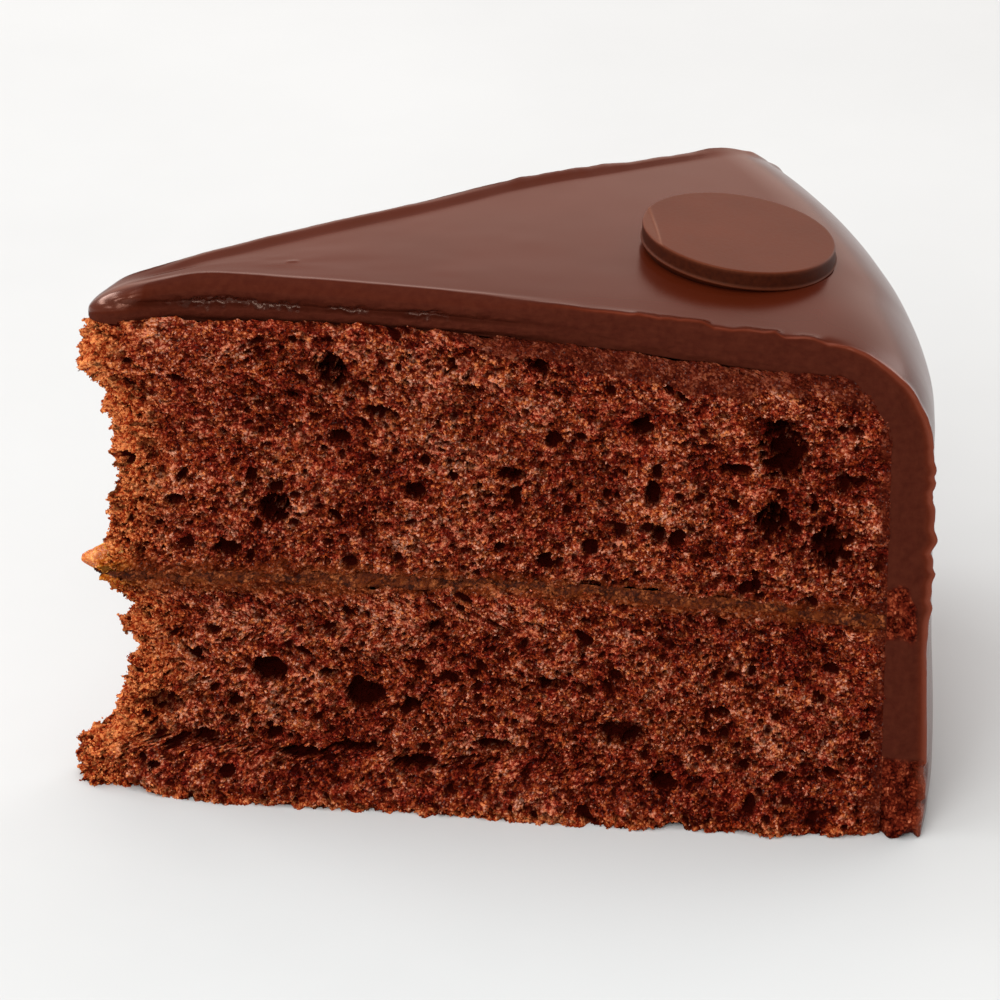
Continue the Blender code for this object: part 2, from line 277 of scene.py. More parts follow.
def rounded(field, near):
    """A strip's field, averaged over neighbouring columns where near is 1."""
    kernel = np.hanning(ROUNDING + 2)[1:-1]
    kernel /= kernel.sum()
    margin = ROUNDING // 2
    padded = np.pad(field, ((margin, margin), (0, 0)), mode="edge")
    average = sum(k * padded[n:n + len(field)] for n, k in enumerate(kernel))
    return field + near * (average - field)


def strip_grid(layer_low, layer_high, rows, corner=0.0):
    """The base surface of one layer's cuts as a strip: back cut, point, front cut.

    Its length p is 0 at the front side of the point and grows along the front cut."""
    inner = RADIUS - GLAZE + LAP
    u = np.concatenate([np.linspace(1, 0, CUT_STEPS + 1), np.zeros(TIP_STEPS - 1),
                        np.linspace(0, 1, CUT_STEPS + 1)])[:, None]
    v = np.concatenate([np.ones(CUT_STEPS + 1), np.linspace(1, 0, TIP_STEPS + 1)[1:-1],
                        np.zeros(CUT_STEPS + 1)])[:, None]
    low, high = layer_low(u * inner), layer_high(u * inner)
    z = low + (high - low) * np.linspace(0.0, 1.0, rows)[None, :]
    over = np.clip(z - (high - corner), 0.0, corner)
    radius = inner - corner + np.sqrt(corner ** 2 - over ** 2)
    x, y = plan(u, v, z, tip_reach(z), radius)
    column = np.arange(len(u))
    near = bell(column - CUT_STEPS - TIP_STEPS / 2, 32.0, 4)[:, None]
    p = (column - (CUT_STEPS + TIP_STEPS)) * STEP
    return rounded(x, near), rounded(y, near), z, np.broadcast_to(p[:, None], z.shape)


def strip_map(p, z):
    """The bake map of a strip, whose length fills its width."""
    span = p - p.min()
    return stack(span / span.max(), (z - z.min()) / span.max())


def outward(x, y, z):
    """Unit normals of a strip, pointing out of the cake."""
    along, up = (stack(*(np.gradient(f, axis=n) for f in (x, y, z))) for n in (0, 1))
    normal = np.cross(along, up)
    return normal / np.linalg.norm(normal, axis=-1, keepdims=True)


def bubble_rows(rng, p_low, wide, tall):
    """Place, height, radius, depth, stretch and turn of bubbles, outermost first."""
    rows = []
    for share, least, most, deepest in POROSITY:
        n = int(wide * tall * share)
        radius = least + (most - least) * rng.random(n) ** 1.6
        rows.append(stack(p_low + rng.random(n) * wide, rng.random(n) * (tall + 2) - 1, radius,
                          rng.random(n) * deepest - 0.25 * radius,
                          0.68 + 0.45 * rng.random(n), 0.55 * rng.normal(size=n)))
    rows = np.concatenate(rows)
    return rows[np.argsort(rows[:, 3] - rows[:, 2])]


def carve(p, z, seed):
    """Depth of small bubbles, where they open to the cut or another bubble."""
    p_low, z_low = p.min(), z.min()
    rows = z.shape[1]
    z_step = (z[:, -1] - z[:, 0]).mean() / (rows - 1)
    bubbles = bubble_rows(np.random.default_rng(seed), p_low, p.max() - p_low, z.max() - z_low)
    depth = np.zeros(z.shape)
    cols, first = p[:, 0], z[:, 0]
    wobble = 0.22 * lattice_noise(p, z, 0.7, seed + 50)
    for pc, zc, radius, deep, stretch, turn in bubbles:
        # the part of the grid that the bubble can reach
        reach = radius * 1.6
        i0, i1 = np.searchsorted(cols, (pc - reach, pc + reach))
        if i1 <= i0:
            continue
        base = first[i0]
        j0 = max(0, int((zc + z_low - reach - base) / z_step))
        j1 = min(rows, int((zc + z_low + reach - base) / z_step) + 2)
        if j1 <= j0:
            continue
        dp = cols[i0:i1, None] - pc
        dz = z[i0:i1, j0:j1] - (zc + z_low)
        c, s = cos(turn), sin(turn)
        a, b = (dp * c + dz * s) * stretch, (dz * c - dp * s) / stretch
        inside = (radius * (1.0 + wobble[i0:i1, j0:j1])) ** 2 - a * a - b * b
        half = np.sqrt(np.maximum(inside, 0.0))
        now = depth[i0:i1, j0:j1]
        opens = (inside > 0.0) & (deep - half <= now + 0.04)
        depth[i0:i1, j0:j1] = np.where(opens, np.maximum(now, deep + half), now)
    return depth


def back_holes(rng, back):
    """Random air holes for the back cut, in rows like HOLES."""
    rows = []
    for _ in range(BACK_HOLES):
        radius = 0.8 + 1.6 * rng.random() ** 2
        rows.append((back + 6.0 + rng.random() * (-back - 18.0), 3.0 + rng.random() * 58.0,
                     radius, radius * (0.6 + 0.5 * rng.random()), 1.3 * radius))
    return rows


def large_holes(p, z, seed):
    """Depth of the named air holes in the front cut and others in the back cut."""
    holes = list(HOLES) + back_holes(np.random.default_rng(seed), p.min())
    ragged = 0.11 * lattice_noise(p, z, 1.6, seed) + 0.09 * lattice_noise(p, z, 0.5, seed + 1)
    webs = bell(lattice_noise(p, z * 1.4, 1.3, seed + 2), 0.14)
    start = CUT_FROM + tip_reach(z)
    along = np.where(p > 0.0, start + (CUT_TO - start) * p / p.max(), p)
    depth = np.zeros(z.shape)
    for place, height, half_length, half_height, deep in holes:
        q = np.sqrt(((along - place) / half_length) ** 2 + ((z - height) / half_height) ** 2) + ragged
        hole = deep * np.sqrt(np.clip(1.0 - q ** 3.0, 0.0, 1.0))
        if min(half_length, half_height) > WEBBED:
            hole = hole * (1.0 - 0.76 * webs)
        depth = np.maximum(depth, hole)
    return depth


def wavy_edges(p, z, to_top, to_jam, seed, upper):
    """Heights with a wavy edge along the jam and under the glaze."""
    wave = 0.4 * ripple(p, 7.0, seed + 44, 2) + 0.36 * ripple(p, 1.7, seed + 40, 2)
    z = z + wave * smooth(2.0, 0.0, to_jam)
    if upper:
        wave = 0.22 * ripple(p, 2.3, seed + 42) + 0.2 * ripple(p, 0.7, seed + 43)
        z = z + wave * smooth(1.5, 0.0, to_top)
    return z


def soaked(p, z, to_top, seed, upper):
    """Where crumb beside the rim and under the glaze is closer and smoother."""
    to_rim = CUT_STEPS * STEP - np.abs(p)
    soak = smooth(2.0, 0.5, to_rim + 1.2 * lattice_noise(p, z, 2.0, seed + 3))
    if upper:
        under = to_top - 0.9 + 1.1 * lattice_noise(p, z, 2.2, seed + 4)
        under = under - (2.1 + 1.9 * lattice_noise(p, z, 4.5, seed + 6)) * smooth(48.0, 80.0, p)
        under = under + 2.6 * smooth(56.0, 42.0, p)
        soak = np.maximum(soak, 0.95 * smooth(1.4, 0.4, under))
    return soak


def beside_jam(p, z, to_jam, seed):
    """Where jam has soaked into the crumb, furthest near the point."""
    reach = 1.4 + 1.5 * smooth(45.0, 18.0, p) + 0.5 * ripple(p, 9.0, seed + 8)
    by_jam = to_jam + 0.8 * lattice_noise(p, z, 1.6, seed + 5)
    return 0.85 * smooth(reach, 0.3 * reach, by_jam)


def crevices(p, z, seed):
    """Gaps that part the crumb into clumps, in some places only; sunk into the relief and darkened
    with painted shade.
    """
    shaded_gaps = bell(lattice_noise(0.55 * p, z, 0.92, seed + 18), 0.14)
    return shaded_gaps * smooth(-0.5, 0.5, lattice_noise(0.7 * p, z, 4.2, seed + 19))


def top_edge(relief, p, to_top, ragged):
    """The upper layer stands out below the glaze and closes against it."""
    brow = 0.25 + 0.55 * smooth(75.0, 50.0, p) * smooth(-8.0, 0.0, p)
    relief = np.where(to_top < 1.4, np.maximum(relief, -0.15), relief)
    relief = relief - 1.5 * ragged * smooth(4.5, 1.0, to_top)
    return relief + brow * smooth(3.8, 1.2, to_top) - (brow + 0.9) * smooth(0.55, 0.0, to_top)


def base_edge(relief, p, z, seed):
    """The lower layer bulges along its base on the front cut."""
    belly = smooth(2.0, 14.0, p) * smooth(110.0, 92.0, p)
    relief = relief + 3.0 * belly * bell(z, 5.0)
    return relief + 0.5 * smooth(3.0, 0.0, z) * fractal(p, z, 1.3, seed + 17)


def sponge_layer(name, node, layer_low, layer_high, rows, seed, material):
    """One layer's cut faces as three pieces. Gives what loose_grains needs."""
    upper = node == "sponge_upper"
    x, y, z, p = strip_grid(layer_low, layer_high, rows, SHOULDER - GLAZE if upper else 0.0)
    normal = outward(x, y, z)
    to_top = z[:, -1:] - z
    to_jam = z - z[:, :1] if upper else to_top
    z = wavy_edges(p, z, to_top, to_jam, seed, upper)

    soak, jammy = soaked(p, z, to_top, seed, upper), beside_jam(p, z, to_jam, seed)
    close = np.maximum(soak, 0.8 * jammy)
    ragged = bell(p - TORN_AT, 4.0)
    holes = large_holes(p, z, seed + 7)
    pits = carve(p, z, seed) * (1.0 - 0.85 * close)
    crevice = crevices(p, z, seed) * (1.0 - 0.85 * close) * (1.0 - 0.5 * ragged)

    rng = np.random.default_rng(seed)
    lumps = 0.34 * fractal(p, z, 6.0, seed + 11) + 0.33 * fractal(0.7 * p, z, 1.9, seed + 12)
    grain = 0.1 * fractal(p, z, 0.46, seed + 13, 2) + 0.062 * rng.normal(size=z.shape)
    torn = ragged * (0.6 * fractal(p, z, 2.2, seed + 15) + 0.85 * fractal(p, z, 0.8, seed + 16))
    relief = lumps * (1.0 - 0.6 * close) + grain * (1.0 - 0.5 * soak) + torn
    relief = relief - pits - 0.3 * crevice - holes * (1.0 - 0.8 * ragged)
    # crumbs draw in where they meet the jam
    relief = relief - 0.6 * smooth(0.3, 0.0, to_jam)
    relief = top_edge(relief, p, to_top, ragged) if upper else base_edge(relief, p, z, seed)
    shake = 0.05 * rng.normal(size=z.shape + (3,))
    shake[:, (0, -1)] = 0.0
    points = stack(x, y, z) + normal * relief[..., None] + shake
    points[..., 2] = np.maximum(points[..., 2], FLOOR)

    # dark painted shade in the pits, holes, crevices and valleys of the relief, darker towards base
    # and rim, and paler painted light where the crumb is thin
    dark = np.clip(pits / 0.7 + holes / 1.6 + 0.62 * crevice, 0, 1)
    shade = 0.14 * smooth(9.0, 4.0, z) + 0.08 * smooth(58.0, 95.0, p)
    near_tip = 0.42 * smooth(9.0, -1.0, p) * smooth(-10.0, -3.0, p)
    shades = {"pit_shade": dark, "soak": soak,
              "amber": bell(z - 29.8, 1.9) * smooth(4.0, -3.0, p) * smooth(-12.0, -6.0, p),
              "jammy": jammy * (1.0 - np.clip(holes, 0, 1)),
              "tone_and_shade": np.clip(0.5 + lumps * 0.5 + grain * 2.4 - shade, 0, 1),
              "thin_glow": np.clip(ragged + near_tip + 0.7 * smooth(2.0, 0.3, z), 0, 1)}

    uv = strip_map(p, z)
    middle, last = CUT_STEPS + TIP_STEPS + CUT_STEPS // 2, 2 * CUT_STEPS + TIP_STEPS
    for suffix, start, end, every in (("_back", 0, CUT_STEPS, BACK_EVERY),
                                      ("_point", CUT_STEPS, middle, 1), ("_rim", middle, last, 1)):
        part = (slice(start, end + 1, every), slice(None, None, every))
        make_piece(name + suffix, points[part], grid_faces(*z[part].shape), uv[part],
                   {key: value[part] for key, value in shades.items()}, material, "sponge", node)
    return points, normal, p, np.maximum(close, dark)


def whole_crumb(tone_and_shade, thin_glow):
    """Shading values of crumb without pits, soaking or jam."""
    zero = np.zeros(len(tone_and_shade))
    return {"tone_and_shade": tone_and_shade, "thin_glow": thin_glow, "pit_shade": zero, "soak": zero, "jammy": zero, "amber": zero}


def crumb_under(material):
    """The flat base of the slice, a little inside its cut faces."""
    rows, cols = 90, 40
    u, v = np.meshgrid(np.linspace(0.0, 1.0, rows), np.linspace(0.0, 1.0, cols), indexing="ij")
    z = np.full(u.shape, 0.4)
    x, y = plan(u, v, z, tip_reach(z) + 0.8, RADIUS - GLAZE)
    z = 0.3 + 0.12 * fractal(x, y, 2.0, UNDER_SEED)
    tone = np.clip(0.5 + 0.6 * fractal(x, y, 1.1, UNDER_SEED + 1), 0, 1).ravel()
    make_piece("crumb_under", stack(x, y, z), grid_faces(rows, cols),
               stack(x, y + 50.0) / 110.0, whole_crumb(tone, np.full(len(tone), 0.3)),
               material, "sponge", "sponge_lower")


def loose_grains(layers, material):
    """Small crumbs on the cut faces, most of all at the point and along the base."""
    rng = np.random.default_rng(GRAIN_SEED)
    ball, tris = icosphere(1)
    points, faces, tone_and_shade = [], [], []
    for surface, normal, p, bare in layers:
        weight = 0.25 + 4.5 * bell(p - TORN_AT, 3.0) + 1.2 * smooth(1.5, 0.0, surface[..., 2])
        weight = (weight * (1.0 - bare) * (p > -8.0)).ravel()
        picks = rng.choice(weight.size, GRAINS // 2, p=weight / weight.sum(), replace=False)
        places = surface.reshape(-1, 3)[picks] + 0.08 * normal.reshape(-1, 3)[picks]
        for place in places:
            size = 0.09 + 0.17 * rng.random() ** 2
            turn = np.linalg.qr(rng.normal(size=(3, 3)))[0]
            shape = ball * (1.0 + 0.35 * rng.normal(size=(len(ball), 1))) * (1.0, 0.8, 0.65)
            faces.append(tris + len(points) * len(ball))
            points.append(place + size * shape @ turn)
            tone_and_shade.append(np.full(len(ball), 0.45 + 0.5 * rng.random()))
    points = np.concatenate(points)
    points[:, 2] = np.maximum(points[:, 2], FLOOR)
    shades = whole_crumb(np.concatenate(tone_and_shade), smooth(12.0, 0.0, points[:, 0]))
    make_piece("loose_grains", points, np.concatenate(faces).tolist(),
               points[:, (0, 2)] / 200.0 + 0.3, shades,
               material, "sponge", "sponge_lower", "sponge_upper")


# The jam line

JAM_SEED, TONGUE_SEED = 301, 501
TONGUE_AT = (2.9, -1.6, 30.3)  # middle and half sizes of the jam at the point
TONGUE = (6.0, 2.4, 2.9)


def jam_line(material):
    half = 0.5 * JAM
    x, y, z, p = strip_grid(lambda r: jam_height(r) - half, lambda r: jam_height(r) + half, 13)
    relief = 0.22 * fractal(p, z, 2.0, JAM_SEED) + 0.16 * fractal(p, z, 0.7, JAM_SEED + 1)
    relief = relief + 0.05 * np.random.default_rng(JAM_SEED + 2).normal(size=z.shape) - 0.3
    points = stack(x, y, z) + outward(x, y, z) * relief[..., None]
    wet = smooth(-0.1, 0.5, lattice_noise(p, z, 1.7, JAM_SEED + 4))
    make_piece("jam_line", points, grid_faces(*z.shape), strip_map(p, z), {"wet": wet},
               material, "jam", "jam_filling")


def jam_point(material):
    """The jam drawn out beyond the crumb at the point."""
    points, faces = icosphere(4)
    px, py, pz = points.T
    ragged = 0.22 * fractal(px * 3 + pz, py * 3 - pz, 0.5, TONGUE_SEED)
    taper = (1.0 - 0.42 * smooth(0.2, -1.0, px)) * (1.0 + ragged)
    x = TONGUE_AT[0] + px * TONGUE[0] * (1.0 + 0.15 * ragged)
    y = TONGUE_AT[1] + py * TONGUE[1] * taper
    z = TONGUE_AT[2] + pz * TONGUE[2] * taper + 0.6 * smooth(0.0, -1.0, px)
    uv = stack(x / 20.0 + 0.3, z / 20.0 - 1.0)
    make_piece("jam_point", stack(x, y, z), faces.tolist(), uv, {},
               material, "jam", "jam_filling")


# The glaze

GLAZE_SEED = 400
FLAT = RADIUS - SHOULDER - NOSE_X  # length of the top, before the shoulder
TURN = SHOULDER * pi / 2.0  # length of the shoulder
NOSE = 6.0  # length of the round nose at the point
FINE, COARSE = 0.15, 0.4  # steps along the top
FINE_TO = 53.0
EDGE = 6.0  # width of the finely stepped band along each cut
MOST_SAG = 4.6
GROOVE = 0.47  # height of the groove, as a share of the glaze
MAP_LENGTH = 185.0

# Its edge along the front cut steps down towards the rim: place, height
EDGE_STEPS = (
    (60.0, 0.0), (66.5, 0.1), (76.8, 0.5), (78.2, -0.28), (85.8, 0.4), (86.9, -0.26),
    (90.6, 0.18), (92.4, -0.36), (104.0, 0.0)
)


def glaze_profile(s):
    """Points and outward normals along the middle of the glaze, s from its point."""
    angle = np.clip((s - FLAT) / SHOULDER, 0.0, pi / 2.0)
    r = NOSE_X + np.minimum(s, FLAT) + SHOULDER * np.sin(angle)
    z = top_height(np.minimum(r, RADIUS - SHOULDER))
    z = z - SHOULDER * (1.0 - np.cos(angle)) - np.maximum(0.0, s - FLAT - TURN)
    return r, z, np.sin(angle), np.cos(angle)


def glaze_stops():
    """Places along the glaze, closest together round its nose and near the point."""
    drop = top_height(RADIUS - SHOULDER) - SHOULDER - 0.15
    return np.concatenate([NOSE * np.linspace(0, 1, 31) ** 1.9,
                           np.arange(NOSE + FINE, FINE_TO, FINE),
                           np.arange(FINE_TO, FLAT, COARSE),
                           FLAT + TURN * np.linspace(0, 1, 67),
                           FLAT + TURN + drop * np.linspace(0, 1, 131)[1:]])


def glaze_section(width, roll):
    """One cut through the glaze: distance from the front cut, height over the crumb."""
    roll = min(roll, 0.49 * width)
    reach = min(EDGE, 0.5 * width - 0.01)

    def edge(side_steps, shelf_steps):
        side = np.linspace(0.0, 1.0, side_steps)[:-1]
        arc = np.linspace(0.0, pi / 2.0, 11)
        shelf = np.linspace(0.0, 1.0, shelf_steps)[1:]
        d = [0.0 * side, roll * (1.0 - np.cos(arc)), roll + (reach - roll) * shelf]
        h = [(GLAZE - roll) * side, GLAZE - roll + roll * np.sin(arc), GLAZE + 0.0 * shelf]
        return np.concatenate(d), np.concatenate(h)

    # the front cut is seen close, so it has more steps
    (d0, h0), (d1, h1) = edge(36, 15), edge(14, 12)
    dm = reach + (width - 2 * reach) * np.linspace(0.0, 1.0, 30)[1:-1]
    d_all = np.concatenate([d0, dm, (width - d1)[::-1]])
    h_all = np.concatenate([h0, GLAZE + 0.0 * dm, h1[::-1]])
    inner = np.linspace(1.0, 0.0, 14)[1:-1]
    return np.concatenate([d_all, width * inner]), np.concatenate([h_all, 0.0 * inner])


def glaze_grid():
    """Rings round the coat: place along it, share of the width, height, distance to a cut."""
    rows = []
    for s in glaze_stops():
        r, z = glaze_profile(s)[:2]
        if r > 67.0:
            y0, y1 = (rim_point(v, z, r)[1] for v in (0.0, 1.0))
        else:
            y0, y1 = cut_sides(r, z, LIP_BLUNT)
        width = y1 - y0
        # a soft roll near the point, a crisp edge towards the rim
        roll = 1.35 - 0.95 * smooth(42.0, 62.0, s) + 1.5 * smooth(8.0, 1.5, s)
        d, h = glaze_section(width, roll)
        rows.append(stack(np.full(d.shape, s), d / width, h, np.minimum(d, width - d)))
    return np.stack(rows)


def wet_groove(s, h):
    """A torn, wet hollow along the front cut near the point, and its crumpled relief."""
    ragged = 0.32 * fractal(s, h, 1.3, GLAZE_SEED + 15, 2)
    hollow = bell(h - GROOVE * GLAZE + ragged, 0.58, 4)
    hollow = hollow * smooth(7.5, 10.5, s) * smooth(54.0, 36.0, s)
    hollow = hollow * smooth(-0.75, -0.1, ripple(s, 2.6, GLAZE_SEED + 17))
    slant = 0.5
    along, across = s * cos(slant) + h * sin(slant), h * cos(slant) - s * sin(slant)
    return hollow, hollow * fractal(along / 1.5, across, 0.52, GLAZE_SEED + 16, 2)


class Coat:
    """The glaze as fields on a grid: s along it, v from cut to cut, h its height."""

    def __init__(self):
        grid = glaze_grid()
        self.s, self.v, self.h, self.edge = (grid[..., n] for n in range(4))
        self.r, self.z, self.nr, self.nz = glaze_profile(self.s)
        self.outer = self.h > 0.5 * GLAZE
        self.back = self.v > 0.5
        self.run = self.s + 200.0 * self.back  # so that noise differs on the two cuts
        self.near_point = smooth(62.0, 42.0, self.s)
        self.on_top = smooth(RADIUS + 24.0, RADIUS + 6.0, self.s)

    def lip(self):
        """The lip along each cut, high at the back, stepped where the edge is crisp."""
        s, edge, near = self.s, self.edge, self.near_point
        lip = 0.75 * (1.0 + 0.35 * ripple(self.run, 14.0, GLAZE_SEED + 1, 3))
        lip = lip * smooth(4.0, 22.0, s) * smooth(98.0, 80.0, s) * (0.55 + 0.45 * near)
        crest = (1.0 - near) * (0.1 + 0.2 * np.abs(ripple(self.run, 5.5, GLAZE_SEED + 2, 3)))
        crest = crest + ~self.back * np.interp(s, *zip(*EDGE_STEPS))
        crest = crest + self.back * 0.5 * smooth(22.0, 45.0, s) * smooth(84.0, 66.0, s)
        bead = np.where(self.back, lip * bell(edge - (1.1 + 0.8 * near), 0.6 + 0.5 * near),
                        0.12 * near * bell(edge - 1.6, 0.35) * smooth(6.0, 14.0, s))
        return (bead + crest * bell(edge, 0.9)) * self.on_top * (self.h / GLAZE) ** 2

    def swell(self):
        """Slow waves in the top, and stronger ones down the rim."""
        s, v = self.s, self.v
        top = 0.04 * fractal(s, v * 60.0, 16.0, GLAZE_SEED + 3)
        rim = 0.13 * self.nr * fractal(0.5 * s, v * 66.0, 11.0, GLAZE_SEED + 12, 2)
        return top * self.outer + rim * self.outer

    def sag(self):
        """The coat sinks towards the point and ends in a round nose."""
        s = self.s
        nose = 1.0 - np.sqrt(1.0 - np.clip(1.0 - s / NOSE, 0.0, 1.0) ** 2)
        fall = 4.0 * nose + 1.1 * smooth(17.0, 2.0, s) + 1.7 * np.exp(-s / 9.0) * self.v ** 1.5
        return MOST_SAG * np.tanh(fall / MOST_SAG)

    def rim_form(self, z):
        """How far the rim stands out, with a burr beside each cut."""
        foot = 0.9 * smooth(5.0, 0.0, z) - 0.8 * smooth(44.0, 30.0, z) - 1.1 * smooth(28.0, 8.0, z)
        burr = bell(z - 42.0, 12.0, 4) * self.nr * np.exp(-self.edge / 0.9)
        burr = burr * (0.25 + 0.75 * np.abs(ripple(z, 3.1, GLAZE_SEED + 10, 3)))
        return 0.9 * burr - 0.45 * (foot * self.nr)

    def plan(self, r, z):
        """Straight from cut to cut near the point, and an arc at the rim."""
        y0, y1 = cut_sides(r, z, LIP_BLUNT)
        bow = 1.0 - np.minimum(1.0, (self.s + 0.04) / 5.0)
        middle, half = 0.5 * (y0 + y1), 0.5 * (y1 - y0) * np.sqrt(1.0 - bow * bow)
        straight = middle + half * (2.0 * self.v - 1.0)
        arc_x, arc_y = rim_point(self.v, z, np.maximum(r, 1.0))
        share = smooth(ARC_FROM, ARC_TO, r)
        return r + (arc_x - r) * share, straight + (arc_y - straight) * share

    def torn_rim(self, h, z):
        """The foot of the rim is torn, and another patch at the height of the jam."""
        by_jam = smooth(24.0, 28.5, z) * smooth(35.5, 31.0, z) * smooth(4.8, 1.5, h)
        torn = np.maximum(smooth(15.0, 6.0, z), by_jam)
        torn = torn + 0.3 * lattice_noise(self.run, h, 1.7, GLAZE_SEED + 8)
        return smooth(0.42, 0.62, torn) * self.nr

    def cut_relief(self, h, z):
        """How far the cuts stand out, and where they are grooved, wet and rough."""
        run, near = self.run, self.near_point
        share = np.clip(h / GLAZE, 0, 1)
        # drag marks from the knife
        marks = 0.08 * fractal(run * 0.35, h, 0.7, GLAZE_SEED + 4)
        marks = marks + 0.16 * fractal(run, h * 2.0, 5.0, GLAZE_SEED + 5)
        # near the point the coat curls over a groove, torn and wet in places
        level = GROOVE + 0.05 * ripple(run, 9.0, GLAZE_SEED + 7)
        tear, folds = wet_groove(run, h)
        # the groove and the wet hollows are also darkened in the colour with painted shade
        shaded_groove = np.maximum(0.6 * (near * bell(share - level, 0.085)), 0.9 * tear)
        ledge = 0.45 * near * smooth(level, level - 0.12, share) * smooth(0.0, 0.1, share)
        curl = 0.5 * near * np.sin(pi * np.clip((share - level) / (1.0 - level), 0, 1))
        rough = self.torn_rim(h, z)
        chips = rough * (0.95 * fractal(run, h, 1.9, GLAZE_SEED + 9, 4) - 0.35)
        out = curl + ledge + marks - 0.35 * shaded_groove + 0.2 * folds + chips + 0.15 * np.sin(pi * share)
        return out + 1.3 * self.nr * bell(z, 4.5), shaded_groove, tear, rough

    def gloss(self, h, bead):
        """Shading values: dull rolls and cuts, a bright edge that is shinier and has painted light in
        its colour, and the shine of the rest.
        """
        s, v, edge, near = self.s, self.v, self.edge, self.near_point
        rolled = 0.95 + 0.95 * near
        at_cut = edge < 0.02
        high = smooth(0.3, 0.8, self.h / GLAZE)
        dull = np.maximum(0.85 * smooth(rolled, rolled - 0.8, edge) * self.on_top, at_cut)
        dull = dull * np.maximum(smooth(2.0, 9.0, s), 1.0 - high)
        # corner is the crisp edge towards the rim: shinier, with a paler red painted along it as
        # light showing through
        corner = bell(np.hypot(edge, h - bead - GLAZE), 0.22 + 0.5 * self.nr) * (1.0 - near)
        # the shine grows away from the front cut, but for a line on its roll and the nose
        polish = 0.36 + 0.9 * v + 1.2 * near * bell(edge - rolled, 0.28) * ~self.back
        polish = polish * (1.0 - 0.75 * smooth(15.0, 8.0, s) * smooth(0.25, 0.6, v))
        at_nose = smooth(8.0, 2.5, s) * high * smooth(0.7, 0.35, v)
        polish = np.clip(polish, 0.15, 1.7) + 0.8 * at_nose
        polish = polish + corner * (0.35 + 0.9 * smooth(76.0, 92.0, s))
        return {"cut": at_cut * smooth(GLAZE, GLAZE - 1.2, h), "dull": dull, "edge": corner,
                "polish": polish, "tear": 0.4 * at_nose}


def burst_bubble(x, y):
    """A faint dash in the top, where a bubble burst."""
    return np.exp(-((x - 24.4) / 0.75) ** 4 - ((y + 1.8) / 0.35) ** 2)


def glaze_coat(material):
    coat = Coat()
    bead = coat.lip()
    h = coat.h + bead + coat.swell() - coat.sag() * (coat.h / GLAZE)
    depth = GLAZE - h + hem_drop(coat.r) * np.clip(1.0 - h / GLAZE, 0.0, 1.0)
    # the shoulder is rounder away from the front cut
    depth = depth + 1.7 * coat.nr * coat.nz * smooth(0.02, 0.35, coat.v)
    r, z = coat.r - coat.nr * depth, coat.z - coat.nz * depth
    r = r + coat.rim_form(z) * (h / GLAZE)
    z = np.maximum(z, 0.12)
    x, y = coat.plan(r, z)

    out, shaded_groove, tear, rough = coat.cut_relief(h, z)
    side = np.where(coat.back, 1.0, -1.0) * smooth(2.6, 0.0, coat.edge)
    side = np.where(h < 0.05, 0.0, side)
    on_side = np.abs(side)
    out = out * side * smooth(0.5, 5.0, coat.s) * smooth(0.0, 1.1, h)
    y = y + out * cos(HALF_ANGLE)
    x = x - np.abs(out) * sin(HALF_ANGLE) * np.sign(on_side)
    z = z + 0.07 * burst_bubble(x, y) * coat.outer

    shades = coat.gloss(h, bead)
    shades["tear"] = np.maximum(tear * on_side, shades["tear"])
    shades["rough"] = rough * on_side
    shades["shaded_groove"] = shaded_groove * on_side
    count, around = coat.s.shape
    uv = stack(coat.s / MAP_LENGTH, np.arange(around) / around * 0.5 + 0.0 * coat.s)
    make_piece("glaze_coat", stack(x, y, z), tube_faces(count, around), uv, shades,
               material, "glaze", "glaze")


# The disc

DISC_SIDES = 160
FLAW_AT = -0.872  # where the flaw cuts the face, as a share of the radius


def disc_rings():
    """Rings from the middle of the face outwards, down the edge and in underneath.

    Each is a share of the radius and a depth below the face, or None underneath."""
    rings = [(share, 0.0) for share in (0.12, 0.3, 0.5, 0.7)]
    rings += [(0.78 + 0.0115 * n, 0.0) for n in range(17)]
    rings += [(0.978, 0.0), (0.989, 0.02), (0.996, 0.08), (1.0, 0.2)]
    rings += [(1.0 + 0.002 * sin(3.0 * n), 0.38 + 0.2 * n) for n in range(1, 9)]
    rings += [(1.01, 2.1), (1.018, 2.2), (1.018, 2.32), (1.008, 2.4), (1.0, 2.5)]
    return rings + [(0.97, None), (0.5, None)]


def disc_flaw(dx, dy, down):
    """A shallow flaw on the side towards the point: its height and shade."""
    chord = dx - 0.09 * dy + 0.05 * dy ** 2
    on_face = down < 0.05
    ridge = bell(chord - FLAW_AT, 0.01) * on_face
    height = 0.06 * ridge - 0.1 * smooth(-0.875, -0.885, chord) * (down < 0.3)
    return height, np.maximum(ridge, 0.22 * (chord < FLAW_AT) * on_face)


